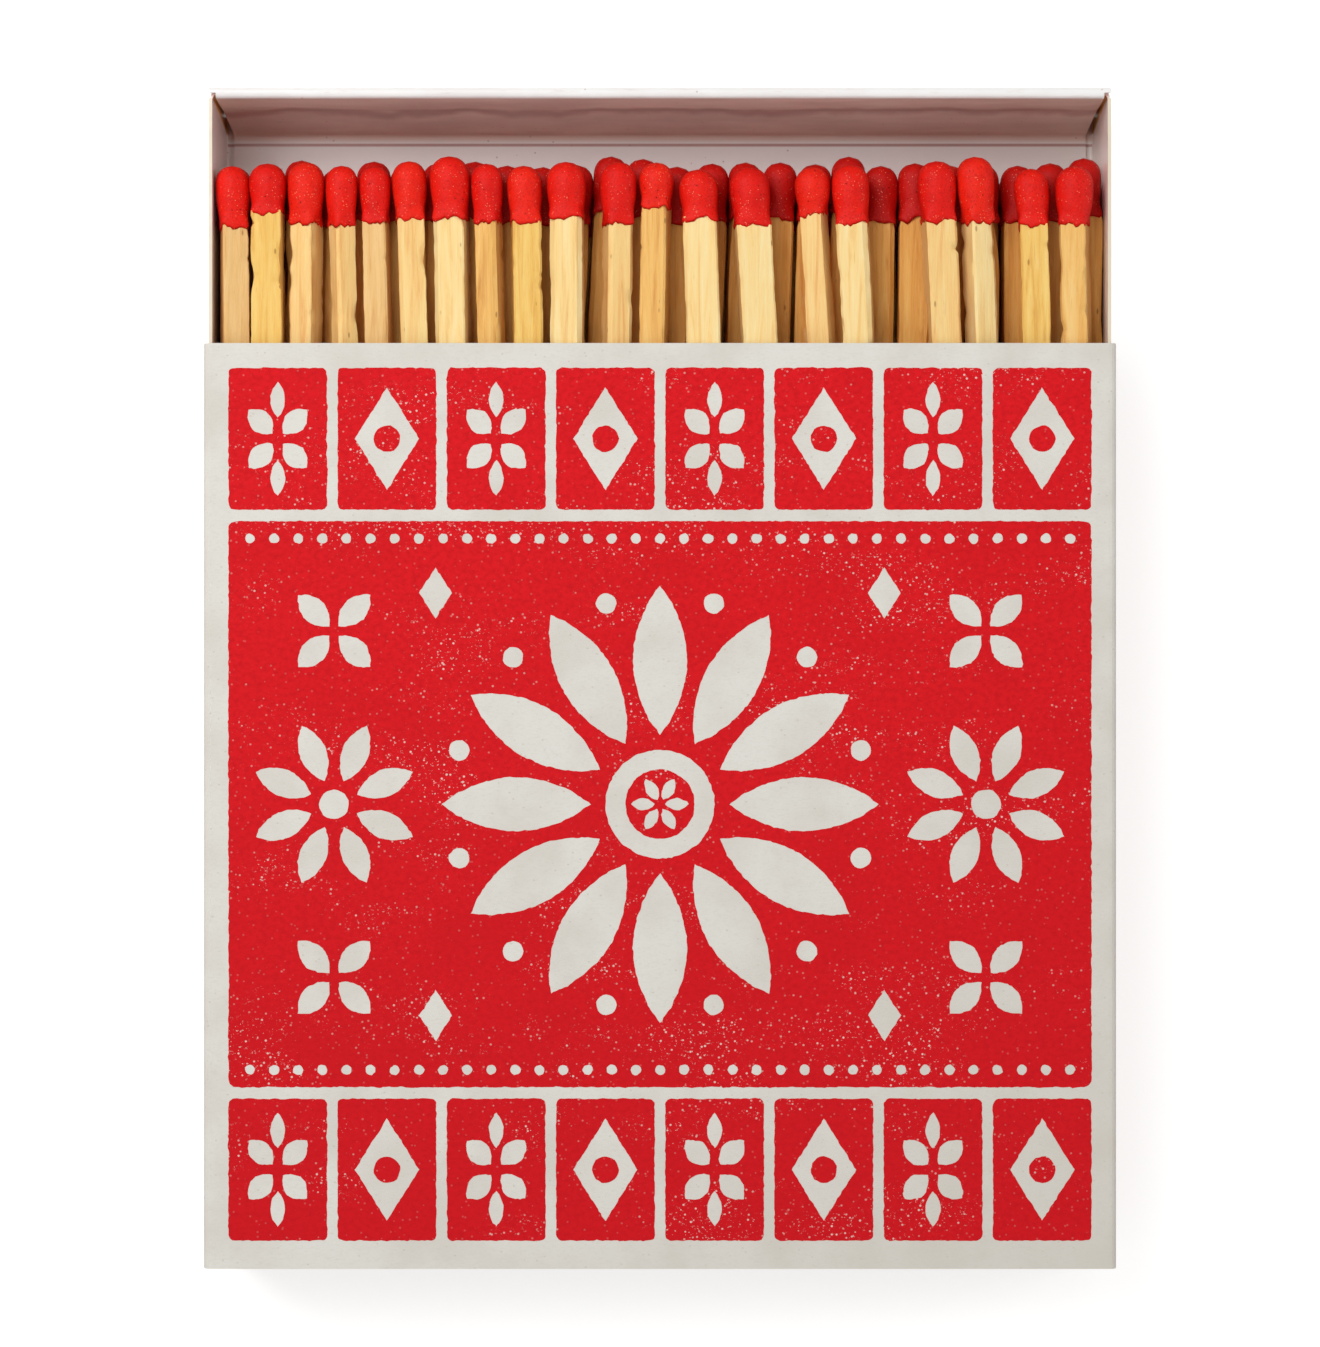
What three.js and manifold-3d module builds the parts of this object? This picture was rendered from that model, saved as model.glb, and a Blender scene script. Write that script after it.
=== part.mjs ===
// A large slide matchbox lying on its back, with its tray pulled part of the way out.
// Millimetres. X is the width, +Y is the way the tray is pulled, +Z is up.
// The origin is the centre of the sleeve's underside.
import * as THREE from "three";
import { mergeVertices } from "three/addons/utils/BufferGeometryUtils.js";
import Module from "manifold-3d";

const wasm = await Module();
wasm.setup();

// Matches
const MATCH_LENGTH = 98;
const STICK_WIDTH = 3.4;
const STICK_CORNER = 0.35;
const HEAD_LENGTH = 7;
const HEAD_COAT = 0.35;
const HEAD_TIP = 1.9;
const HEAD_FIT = 0.03;
const MATCHES_PER_LAYER = 26;
const LAYERS = 4;
const MATCH_GAP = 0.08;
const END_SCATTER = 1.4;
const TOP_LAYER_PLAY = 0.55;
const LEAN_SHARE = 0.7;
const LEAN_PEAK_AT = 0.6;
const JITTER_SHARE = 0.25;

// A head's sections along the barrel that holds the splint, and then along the dome of its tip:
// share of that length, share of the head's width, roundness
const HEAD_BARREL = [
  [0.2, 0.94, 0.35],
  [0.55, 1, 0.45],
  [1, 0.98, 0.5],
];
const HEAD_DOME = [
  [0.58, 0.78, 0.8],
  [1, 0.36, 1],
];

// A hidden head: where it is widest, as shares of its length, its roundness there, its tip's width
const HEAD_SHOULDERS = [0.28, 0.74];
const HEAD_ROUNDNESS = 0.45;
const BLUNT_TIP = 0.33;

// The loose top layer, from the left wall to the right: the free space beside each match, at
// the heads and at the butts, as shares of all the free space there, and how far forward it lies
const HEAD_SPACES = [1, 0, 5, 1, 0, 0, 9, 3, 5, 9, 22, 5, 11, 22, 35, 5, 67, 7, 28, 8, 21];
const BUTT_SPACES = [15, 4, 3, 39, 5, 14, 3, 21, 3, 3, 15, 3, 71, 55, 54, 3, 70, 3, 29, 3, 6];
const TOP_SHIFTS = [
  -0.25, 0.05, 0.2, -0.25, -0.3, 0.35, 0.9, 0, -0.25, 0.2,
  0.2, 0.15, -0.7, -0.3, -0.25, 0, 0.4, 0.9, -0.55, -0.3,
];

// Which run of the repeatable scatter each thing takes
const SERIES = { end: 0, height: 5, drift: 7 };

// Card
const SLEEVE_CARD = 0.4;
const TRAY_CARD = 0.4;
const FOLD_RADIUS = 0.45;
const GLUE_FLAP = 15;
const GLUE_FILM = 0.04;
const STRIKER_THICKNESS = 0.1;
const STRIKER_MARGIN = 1.6;

// Tray
const SLIDE_GAP = 0.15;
const RIM_ROOM = 0.15;
const BUTT_ROOM = 1;
const HEAD_ROOM = 6;
const PANEL_SLANT = 2.3;
const PANEL_BOW = 5;
const PANEL_SIDE_GAP = 0.25;
const PANEL_TAPER = 0.7;
const FLOOR_FLAP = 16;
const CORNER_FLAP = 12;
const FOLD_GAP = 0.06;
const SIDE_WALL_DROP = 0.3;
const TRAY_OPEN = 31.1;

// The widest step of a bend, in degrees
const BEND_STEP = 23;

// Sizes that follow
const headWidth = STICK_WIDTH + 2 * HEAD_COAT;
const pitch = headWidth + MATCH_GAP;
const layerPitch = pitch + MATCH_GAP;
const rimSpace = TRAY_CARD + 2 * FOLD_GAP;
const rollThickness = 2 * TRAY_CARD + rimSpace;
const trayInnerWidth = MATCHES_PER_LAYER * pitch + MATCH_GAP;
const trayWidth = trayInnerWidth + 2 * TRAY_CARD;
const trayLength = 2 * (rollThickness + PANEL_SLANT) + BUTT_ROOM + MATCH_LENGTH + HEAD_ROOM;
const trayBottom = 2 * SLEEVE_CARD + GLUE_FILM + SLIDE_GAP;
const floorTop = trayBottom + TRAY_CARD;
const matchesBottom = floorTop + FOLD_GAP + TRAY_CARD + MATCH_GAP;
const rimTop = matchesBottom + LAYERS * layerPitch + TOP_LAYER_PLAY + RIM_ROOM;
const sleeveWidth = trayWidth + 2 * SLIDE_GAP + 2 * SLEEVE_CARD;
const sleeveDepth = rimTop + SLIDE_GAP + SLEEVE_CARD;
const sleeveLength = trayLength;

const material = (color, roughness) =>
  new THREE.MeshStandardMaterial({ color, roughness, metalness: 0 });
const printedCard = material(0xe3dfd8, 0.85);
const trayBoard = material(0xe8d8cc, 0.6);
const wood = material(0xf3d79b, 0.75);
const composition = material(0xd8271f, 0.5);
const strikingCoat = material(0x4a2b22, 0.95);

// Repeatable scatter between 0 and 1
function scatter(index, salt) {
  const value = Math.sin(index * 12.9898 + salt * 78.233) * 43758.5453;
  return value - Math.floor(value);
}

// The outline of a folded sheet seen end on: straight runs and bends along its middle line
function foldedSheet(start, heading, thickness, steps) {
  const left = [];
  const right = [];
  const here = new THREE.Vector2(start[0], start[1]);
  let angle = THREE.MathUtils.degToRad(heading);
  const mark = () => {
    const out = new THREE.Vector2(-Math.sin(angle), Math.cos(angle)).multiplyScalar(thickness / 2);
    left.push(here.clone().add(out));
    right.push(here.clone().sub(out));
  };
  mark();
  for (const step of steps) {
    if (step.run !== undefined) {
      here.add(new THREE.Vector2(Math.cos(angle), Math.sin(angle)).multiplyScalar(step.run));
      mark();
      continue;
    }
    const turn = THREE.MathUtils.degToRad(step.bend);
    const parts = Math.max(1, Math.ceil(Math.abs(step.bend) / BEND_STEP));
    const chord = 2 * step.radius * Math.sin(Math.abs(turn) / parts / 2);
    for (let i = 0; i < parts; i += 1) {
      angle += turn / parts / 2;
      here.add(new THREE.Vector2(Math.cos(angle), Math.sin(angle)).multiplyScalar(chord));
      angle += turn / parts / 2;
      mark();
    }
  }
  return { points: [...left, ...right.reverse()].reverse(), end: here };
}

// A flat outline pushed along +Z from zero to the given length
function prism(points, length) {
  const shape = new THREE.Shape(points);
  return new THREE.ExtrudeGeometry(shape, { depth: length, bevelEnabled: false, steps: 1 });
}

// Turns a prism drawn in XZ so that it runs along +Y from y0
function alongY(geometry, y0) {
  return geometry.rotateX(Math.PI / 2).scale(1, -1, 1).translate(0, y0, 0);
}

// Turns a prism drawn in YZ so that it runs along +X from x0
function alongX(geometry, x0) {
  return geometry.applyMatrix4(
    new THREE.Matrix4().makeBasis(
      new THREE.Vector3(0, 1, 0),
      new THREE.Vector3(0, 0, 1),
      new THREE.Vector3(1, 0, 0),
    ),
  ).translate(x0, 0, 0);
}

// A geometry as a manifold-3d solid, its faces turned outwards
function solid(geometry) {
  const bare = geometry.index ? geometry.toNonIndexed() : geometry.clone();
  bare.deleteAttribute("normal");
  bare.deleteAttribute("uv");
  const merged = mergeVertices(bare, 1e-4);
  const triVerts = new Uint32Array(merged.index.array);
  const build = () =>
    new wasm.Manifold(
      new wasm.Mesh({ numProp: 3, vertProperties: merged.attributes.position.array, triVerts }),
    );
  const made = build();
  if (made.volume() > 0) return made;
  for (let i = 0; i < triVerts.length; i += 3) {
    [triVerts[i + 1], triVerts[i + 2]] = [triVerts[i + 2], triVerts[i + 1]];
  }
  return build();
}

function geometryOf(made) {
  const mesh = made.getMesh();
  const geometry = new THREE.BufferGeometry();
  geometry.setAttribute("position", new THREE.BufferAttribute(mesh.vertProperties, 3));
  geometry.setIndex(new THREE.BufferAttribute(mesh.triVerts, 1));
  geometry.computeVertexNormals();
  return geometry;
}

function named(name, geometry, look) {
  const mesh = new THREE.Mesh(geometry, look);
  mesh.name = name;
  return mesh;
}

// A closed skin through rings of equal point counts, with a fan at each end
function loft(rings) {
  const count = rings[0].length;
  const points = rings.flat();
  const faces = [];
  rings.slice(1).forEach((ring, k) => {
    for (let i = 0; i < count; i += 1) {
      const a = k * count + i;
      const b = k * count + ((i + 1) % count);
      faces.push(a, b, b + count, a, b + count, a + count);
    }
  });
  const last = (rings.length - 1) * count;
  for (let i = 1; i < count - 1; i += 1) {
    faces.push(0, i + 1, i);
    faces.push(last, last + i, last + i + 1);
  }
  const geometry = new THREE.BufferGeometry().setFromPoints(points);
  geometry.setIndex(faces);
  return geometryOf(solid(geometry));
}

// A rounded square across the Y axis
function squareRing(y, half, corner, arcPoints) {
  const ring = [];
  const reach = half - corner;
  [[1, 1], [-1, 1], [-1, -1], [1, -1]].forEach(([sx, sz], quarter) => {
    for (let k = 0; k < arcPoints; k += 1) {
      const angle = (quarter + (arcPoints > 1 ? k / (arcPoints - 1) : 0.5)) * (Math.PI / 2);
      const x = sx * reach + corner * Math.cos(angle);
      ring.push(new THREE.Vector3(x, y, sz * reach + corner * Math.sin(angle)));
    }
  });
  return ring;
}

const stickLength = MATCH_LENGTH - HEAD_TIP;
const headStart = MATCH_LENGTH - HEAD_LENGTH;
const headMiddle = MATCH_LENGTH - HEAD_LENGTH / 2;

// A split splint, butt at the origin, running along +Y into its head
function stickGeometry() {
  return loft([
    squareRing(0, STICK_WIDTH / 2, STICK_CORNER, 3),
    squareRing(stickLength, STICK_WIDTH / 2, STICK_CORNER, 3),
  ]);
}

// The dipped head: a cap whose socket holds the end of the splint
function headGeometry() {
  const socket = STICK_WIDTH / 2 + HEAD_FIT;
  const lip = STICK_WIDTH / 2 + HEAD_COAT / 2;
  const shoulder = stickLength + 2 * HEAD_FIT;
  const coat = (sections, from, to) =>
    sections.map(([along, wide, round]) => {
      const half = (wide * headWidth) / 2;
      return squareRing(from + along * (to - from), half, half * round, 3);
    });
  return loft([
    squareRing(stickLength + HEAD_FIT, socket, STICK_CORNER, 3),
    squareRing(headStart, socket, STICK_CORNER, 3),
    squareRing(headStart, lip, STICK_CORNER + HEAD_COAT / 2, 3),
    ...coat(HEAD_BARREL, headStart, shoulder),
    ...coat(HEAD_DOME, shoulder, MATCH_LENGTH),
  ]);
}

// A whole match of a hidden layer, its head as wide as its place so that neighbours meet
function plainMatch(rounded) {
  const half = (pitch + MATCH_GAP / 2) / 2;
  const tip = (BLUNT_TIP * headWidth) / 2;
  const ring = (y, reach, corner) => squareRing(y, reach, rounded ? corner : 0, rounded ? 2 : 1);
  return loft([
    ring(0, STICK_WIDTH / 2, STICK_CORNER),
    ring(headStart, STICK_WIDTH / 2, STICK_CORNER),
    ...HEAD_SHOULDERS.map((along) =>
      ring(headStart + along * HEAD_LENGTH, half, half * HEAD_ROUNDNESS),
    ),
    ring(MATCH_LENGTH, tip, tip / 2),
  ]);
}

// Where each match of a full layer lies: its head keeps its place, and its butt drifts sideways
const buttLine = -trayLength / 2 + rollThickness + PANEL_SLANT + BUTT_ROOM;

function layOut(layer) {
  const mirrored = layer % 2 === 0;
  const play = pitch - STICK_WIDTH - MATCH_GAP;
  const step = LEAN_SHARE * play;
  const last = MATCHES_PER_LAYER - 1;
  const peak = LEAN_PEAK_AT * last;
  return Array.from({ length: MATCHES_PER_LAYER }, (_, i) => {
    const place = mirrored ? last - i : i;
    const rise = Math.min(1, place / peak);
    const smooth = rise * rise * (3 - 2 * rise);
    const drift = step * (place < peak ? (last - peak) * smooth : last - place);
    const jitter = (scatter(i, SERIES.drift + layer) - 0.5) * JITTER_SHARE * play;
    const headX = -trayInnerWidth / 2 + MATCH_GAP / 2 + (i + 0.5) * pitch;
    const buttX = headX + (mirrored ? -drift : drift) + (place > 0 && place < last ? jitter : 0);
    const slope = (headX - buttX) / headMiddle;
    const shift = END_SCATTER * (scatter(i, SERIES.end + layer) - 0.5);
    return {
      x: buttX + slope * shift,
      y: buttLine + shift,
      z: matchesBottom + (layer + 0.5) * layerPitch,
      lean: -Math.atan(slope),
    };
  });
}

// The places across the tray of matches that share its free width in the given shares
function spread(shares, width) {
  const count = shares.length - 1;
  const loose = trayInnerWidth - MATCH_GAP - count * (width + MATCH_GAP);
  const whole = shares.reduce((sum, share) => sum + share, 0);
  let edge = -trayInnerWidth / 2 + MATCH_GAP;
  return shares.slice(0, count).map((share) => {
    edge += (loose * share) / whole;
    const middle = edge + width / 2;
    edge += width + MATCH_GAP;
    return middle;
  });
}

// The layer in view: fewer matches that lie loosely, each of them a splint and its head
function topLayer() {
  const group = new THREE.Group();
  const heads = spread(HEAD_SPACES, headWidth);
  const butts = spread(BUTT_SPACES, STICK_WIDTH);
  heads.forEach((headX, i) => {
    const label = "match_" + String(i + 1).padStart(2, "0");
    const slope = (headX - butts[i]) / headMiddle;
    const rise = TOP_LAYER_PLAY * scatter(i, SERIES.height);
    const match = new THREE.Group();
    match.position.set(
      butts[i] + slope * TOP_SHIFTS[i],
      buttLine + TOP_SHIFTS[i],
      matchesBottom + (LAYERS - 0.5) * layerPitch + rise,
    );
    match.rotation.z = -Math.atan(slope);
    match.add(named(label + "_stick", stickGeometry(), wood));
    match.add(named(label + "_head", headGeometry(), composition));
    group.add(match);
  });
  return group;
}

// A layer under it: whole matches joined where their heads touch, rounded in the one that shows
function hiddenLayer(layer) {
  const rounded = layer === LAYERS - 2;
  const joined = layOut(layer)
    .map(({ x, y, z, lean }) => solid(plainMatch(rounded).rotateZ(lean).translate(x, y, z)))
    .reduce((sum, match) => sum.add(match));
  return named("matches_layer_" + (layer + 1), geometryOf(joined), wood);
}

// The sleeve: one strip of card folded round, its glue flap under the back panel's free edge
function sleeve() {
  const bend = { bend: 90, radius: FOLD_RADIUS + SLEEVE_CARD / 2 };
  const flat = sleeveWidth - SLEEVE_CARD - 2 * bend.radius;
  const upright = sleeveDepth - SLEEVE_CARD - 2 * bend.radius;
  const raised = SLEEVE_CARD + GLUE_FILM;
  const outline = foldedSheet([-sleeveWidth / 2 + bend.radius, SLEEVE_CARD / 2], 0, SLEEVE_CARD, [
    { run: flat + SLEEVE_CARD / 2 },
    bend,
    { run: upright },
    bend,
    { run: flat },
    bend,
    { run: upright - raised },
    bend,
    { run: GLUE_FLAP },
  ]).points;
  const wrapped = solid(alongY(prism(outline, sleeveLength), -sleeveLength / 2));
  return named("sleeve", geometryOf(wrapped), printedCard);
}

// A striking strip on one narrow side
function striker(name, side) {
  const tall = sleeveDepth - 2 * STRIKER_MARGIN;
  const strip = new THREE.BoxGeometry(STRIKER_THICKNESS, sleeveLength, tall);
  const mesh = named(name, strip, strikingCoat);
  mesh.position.set(side * (sleeveWidth / 2 + STRIKER_THICKNESS / 2), 0, sleeveDepth / 2);
  return mesh;
}

// The end wall at +Y seen from the side: floor, outer wall, rim, inner panel and floor flap
function rollOutline() {
  const fold = FOLD_RADIUS + TRAY_CARD / 2;
  const over = (rimSpace + TRAY_CARD) / 2;
  const floorMiddle = trayBottom + TRAY_CARD / 2;
  const flapMiddle = floorMiddle + TRAY_CARD + FOLD_GAP;
  const wallTop = rimTop - over - TRAY_CARD / 2;
  const slant = THREE.MathUtils.radToDeg(Math.atan2(PANEL_SLANT, wallTop - flapMiddle));
  const upper = THREE.MathUtils.degToRad(slant - PANEL_BOW);
  const lower = THREE.MathUtils.degToRad(slant + PANEL_BOW);
  const start = [trayLength / 2 - TRAY_CARD / 2 - fold - FLOOR_FLAP, floorMiddle];
  const trace = (halfPanel) =>
    foldedSheet(start, 0, TRAY_CARD, [
      { run: FLOOR_FLAP },
      { bend: 90, radius: fold },
      { run: wallTop - floorMiddle - fold },
      { bend: 180 - slant + PANEL_BOW, radius: over },
      { run: halfPanel },
      { bend: -2 * PANEL_BOW, radius: FOLD_RADIUS },
      { run: halfPanel },
      { bend: slant + PANEL_BOW - 90, radius: fold },
      { run: halfPanel > 0 ? FLOOR_FLAP : 0 },
    ]);
  const above = trace(0).end.y - flapMiddle;
  return trace(above / (Math.cos(upper) + Math.cos(lower))).points;
}

// What is cut from the right-hand end of a roll so that it fits between the side walls
function rollTrims() {
  const outside = trayWidth;
  const within = trayLength / 2 - TRAY_CARD - rimSpace / 2;
  const inside = trayLength / 2 - 2 * (FLOOR_FLAP + rollThickness + PANEL_SLANT);
  const base = trayLength / 2 - rollThickness - PANEL_SLANT;
  const wallFace = trayWidth / 2 - TRAY_CARD;
  const top = wallFace - PANEL_SIDE_GAP;
  const foot = top - PANEL_TAPER;
  const square = (x) => [[x, inside], [outside, inside], [outside, within], [x, within]];
  const tapered = [
    [foot, inside], [outside, inside], [outside, within], [top, within], [foot, base],
  ];
  const cutter = (corners, z) =>
    prism(corners.map(([x, y]) => new THREE.Vector2(x, y)), 2 * rimTop).translate(0, 0, z);
  return [
    cutter(square(wallFace - FOLD_RADIUS), -rimTop),
    cutter(tapered, floorTop + FOLD_GAP / 2),
  ];
}

// A corner flap: the end of a side wall folded in between the two sheets of the roll
function cornerFlap() {
  const fold = FOLD_RADIUS + TRAY_CARD / 2;
  const across = trayLength / 2 - TRAY_CARD - rimSpace / 2;
  const overlap = 2 * FOLD_RADIUS;
  const start = [trayWidth / 2 - TRAY_CARD / 2, across - fold - overlap];
  const outline = foldedSheet(start, 90, TRAY_CARD, [
    { run: overlap },
    { bend: 90, radius: fold },
    { run: CORNER_FLAP },
  ]).points;
  const low = floorTop + 2 * FOLD_RADIUS;
  const high = rimTop - TRAY_CARD - rimSpace / 2 - FOLD_GAP;
  return prism(outline, high - low).translate(0, 0, low);
}

// The tray: one sheet with its floor, side walls and rolled ends
function tray() {
  const fold = FOLD_RADIUS + TRAY_CARD / 2;
  const wall = rimTop - SIDE_WALL_DROP - trayBottom - TRAY_CARD / 2 - fold;
  const reach = trayLength / 2 - TRAY_CARD - rimSpace / 2 - fold;
  const edge = [-trayWidth / 2 + TRAY_CARD / 2, rimTop - SIDE_WALL_DROP];
  const channel = foldedSheet(edge, -90, TRAY_CARD, [
    { run: wall },
    { bend: 90, radius: fold },
    { run: trayWidth - TRAY_CARD - 2 * fold },
    { bend: 90, radius: fold },
    { run: wall },
  ]).points;
  let sheet = solid(alongY(prism(channel, 2 * reach), -reach));
  for (const end of [1, -1]) {
    let roll = solid(alongX(prism(rollOutline(), trayWidth), -trayWidth / 2).scale(1, end, 1));
    for (const side of [1, -1]) {
      rollTrims().forEach((trim) => {
        roll = roll.subtract(solid(trim.scale(side, end, 1)));
      });
      sheet = sheet.add(solid(cornerFlap().scale(side, end, 1)));
    }
    sheet = sheet.add(roll);
  }
  return named("tray", geometryOf(sheet), trayBoard);
}

const drawer = new THREE.Group();
drawer.position.y = TRAY_OPEN;
drawer.add(tray(), topLayer());
for (let layer = 0; layer < LAYERS - 1; layer += 1) drawer.add(hiddenLayer(layer));

const matchbox = new THREE.Group();
matchbox.add(sleeve(), striker("striker_left", -1), striker("striker_right", 1), drawer);

export default matchbox;
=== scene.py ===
"""Looks of a large slide matchbox: printed sleeve, folded card tray and long red-headed matches."""

import math
import random

import bpy
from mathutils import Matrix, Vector, noise


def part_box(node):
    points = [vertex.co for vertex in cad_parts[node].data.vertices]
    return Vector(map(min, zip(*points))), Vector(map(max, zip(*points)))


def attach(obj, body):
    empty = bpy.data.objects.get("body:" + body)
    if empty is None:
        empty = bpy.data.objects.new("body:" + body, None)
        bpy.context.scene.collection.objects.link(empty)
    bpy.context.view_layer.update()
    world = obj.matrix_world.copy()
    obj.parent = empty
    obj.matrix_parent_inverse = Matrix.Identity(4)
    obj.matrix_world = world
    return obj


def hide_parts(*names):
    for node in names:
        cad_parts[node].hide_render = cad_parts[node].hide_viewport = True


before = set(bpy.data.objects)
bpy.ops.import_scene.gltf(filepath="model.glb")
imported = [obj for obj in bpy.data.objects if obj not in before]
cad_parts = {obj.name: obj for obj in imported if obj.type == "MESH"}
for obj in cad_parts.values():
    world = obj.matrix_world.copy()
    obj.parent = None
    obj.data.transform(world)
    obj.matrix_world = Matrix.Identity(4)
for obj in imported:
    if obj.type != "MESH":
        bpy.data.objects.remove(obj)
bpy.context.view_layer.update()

MM = 0.001

# The photograph: its size, its scale on the sleeve's front and where it is centred
IMAGE_HEIGHT = 1347
PIXELS_PER_MM = 8.25
SLEEVE_TOP_PIXEL = 344
SLEEVE_FOOT_PIXEL = 1268
CAMERA_HEIGHT = 520 * MM
SENSOR = 36

SLEEVE_LOW, SLEEVE_HIGH = (Vector(corner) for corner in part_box("sleeve"))
TRAY_LOW, TRAY_HIGH = (Vector(corner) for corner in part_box("tray"))
FRONT_Z = SLEEVE_HIGH.z


def srgb(red, green, blue):
    """A colour of 0 to 255 as Blender's linear values."""
    channels = (value / 255 for value in (red, green, blue))
    linear = [c / 12.92 if c <= 0.04045 else ((c + 0.055) / 1.055) ** 2.4 for c in channels]
    return (*linear, 1.0)


class Look:
    """A material and short ways to add its nodes."""

    def __init__(self, name, roughness=0.6, specular=0.5, coat=0.0, coat_roughness=0.3):
        self.material = bpy.data.materials.new(name)
        self.material.use_nodes = True
        self.tree = self.material.node_tree
        self.surface = self.tree.nodes["Principled BSDF"]
        self.surface.inputs["Roughness"].default_value = roughness
        self.surface.inputs["Specular IOR Level"].default_value = specular
        self.surface.inputs["Coat Weight"].default_value = coat
        self.surface.inputs["Coat Roughness"].default_value = coat_roughness
        self.place = self.tree.nodes.new("ShaderNodeTexCoord").outputs["Object"]

    def put(self, socket, value):
        """Sets a socket to a value or links an output to it."""
        if isinstance(value, bpy.types.NodeSocket):
            self.tree.links.new(value, socket)
        else:
            socket.default_value = value

    def math(self, operation, first, second=0.0):
        node = self.tree.nodes.new("ShaderNodeMath")
        node.operation = operation
        self.put(node.inputs[0], first)
        self.put(node.inputs[1], second)
        return node.outputs[0]

    def times(self, first, *others):
        for other in others:
            first = self.math("MULTIPLY", first, other)
        return first

    def less(self, first, second):
        return self.math("SUBTRACT", first, second)

    def size(self, value):
        return self.math("ABSOLUTE", value)

    def axis(self, letter):
        """One coordinate of the surface point, in metres."""
        node = self.tree.nodes.new("ShaderNodeSeparateXYZ")
        self.put(node.inputs[0], self.place)
        return node.outputs[letter]

    def normal(self, letter):
        """One part of the direction in which the surface faces in the scene."""
        geometry = self.tree.nodes.new("ShaderNodeNewGeometry")
        node = self.tree.nodes.new("ShaderNodeSeparateXYZ")
        self.put(node.inputs[0], geometry.outputs["Normal"])
        return node.outputs[letter]

    def scaled(self, size, offset=(0, 0, 0)):
        """The surface point in units of size millimetres along each axis."""
        mapping = self.tree.nodes.new("ShaderNodeMapping")
        self.put(mapping.inputs["Vector"], self.place)
        mapping.inputs["Scale"].default_value = [1 / (value * MM) for value in size]
        mapping.inputs["Location"].default_value = offset
        return mapping.outputs[0]

    def grain(self, size, detail=4.0, rough=0.55, offset=(0, 0, 0), waver=0.0):
        """Noise whose features are about size millimetres along each axis."""
        texture = self.tree.nodes.new("ShaderNodeTexNoise")
        self.put(texture.inputs["Vector"], self.scaled(size, offset))
        texture.inputs["Scale"].default_value = 1.0
        texture.inputs["Detail"].default_value = detail
        texture.inputs["Roughness"].default_value = rough
        texture.inputs["Distortion"].default_value = waver
        return texture.outputs[0]

    def cells(self, size, randomness=1.0):
        """Distance to the nearest of scattered points, in cells of size millimetres."""
        texture = self.tree.nodes.new("ShaderNodeTexVoronoi")
        self.put(texture.inputs["Vector"], self.scaled(size))
        texture.inputs["Scale"].default_value = 1.0
        texture.inputs["Randomness"].default_value = randomness
        return texture.outputs["Distance"]

    def step(self, value, low, high):
        """0 below low, 1 above high and a smooth rise between."""
        node = self.tree.nodes.new("ShaderNodeMapRange")
        node.interpolation_type = "SMOOTHSTEP"
        self.put(node.inputs["Value"], value)
        node.inputs["From Min"].default_value = low
        node.inputs["From Max"].default_value = high
        return node.outputs[0]

    def band(self, value, start, full, wane, end):
        """1 from full to wane, 0 before start and after end."""
        return self.times(self.step(value, start, full), self.step(value, end, wane))

    def inset(self, low, high):
        """How many millimetres a box's sides, ends, base and top are from the surface point."""
        gaps = []
        for letter, start, end in (("X", low.x, high.x), ("Y", low.y, high.y)):
            offset = self.size(self.less(self.axis(letter), (start + end) / 2))
            gaps.append(self.less((end - start) / 2, offset))
        gaps.append(self.less(self.axis("Z"), low.z))
        gaps.append(self.less(high.z, self.axis("Z")))
        return [self.times(gap, 1 / MM) for gap in gaps]

    def mix(self, share, first, second):
        """The first colour where share is 0 and the second where it is 1."""
        node = self.tree.nodes.new("ShaderNodeMix")
        node.data_type = "RGBA"
        self.put(node.inputs[0], share)
        self.put(node.inputs[6], first)
        self.put(node.inputs[7], second)
        return node.outputs[2]

    def tint(self, tone, color, strength, *masks):
        """A tone that takes a colour where all masks are 1, as far as strength says."""
        return self.mix(self.times(*masks, strength), tone, color)

    def ramp(self, value, *stops):
        """Colours along a value, from pairs of position and colour."""
        node = self.tree.nodes.new("ShaderNodeValToRGB")
        self.put(node.inputs[0], value)
        elements = node.color_ramp.elements
        elements[0].position, elements[0].color = stops[0]
        elements[1].position, elements[1].color = stops[-1]
        for position, color in stops[1:-1]:
            elements.new(position).color = color
        return node.outputs[0]

    def color(self, value):
        self.put(self.surface.inputs["Base Color"], value)

    def rough(self, value):
        self.put(self.surface.inputs["Roughness"], value)

    def relief(self, *layers):
        """Bump from pairs of height output and depth in millimetres, the deepest first."""
        before = None
        for height, depth in layers:
            bump = self.tree.nodes.new("ShaderNodeBump")
            bump.inputs["Distance"].default_value = depth * MM
            bump.inputs["Strength"].default_value = 1.0
            self.put(bump.inputs["Height"], height)
            if before is not None:
                self.put(bump.inputs["Normal"], before)
            before = bump.outputs[0]
        self.put(self.surface.inputs["Normal"], before)


CARD_WHITE = srgb(228, 225, 217)
CARD_SHADE = srgb(219, 214, 204)
CARD_FIBRE = srgb(206, 200, 190)
CARD_FLECK = srgb(186, 172, 155)
CARD_PAINTED_SHADE = srgb(206, 198, 185)
CARD_CORE = srgb(236, 222, 198)
BOARD_BACK = (srgb(176, 164, 146), srgb(196, 184, 166))

# Unevenness of flat card: feature sizes and depth in millimetres
CARD_WAVES = ((22, 30, 20), 0.25)
CARD_TOOTH = ((0.35, 0.3, 0.3), 0.025)


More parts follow.
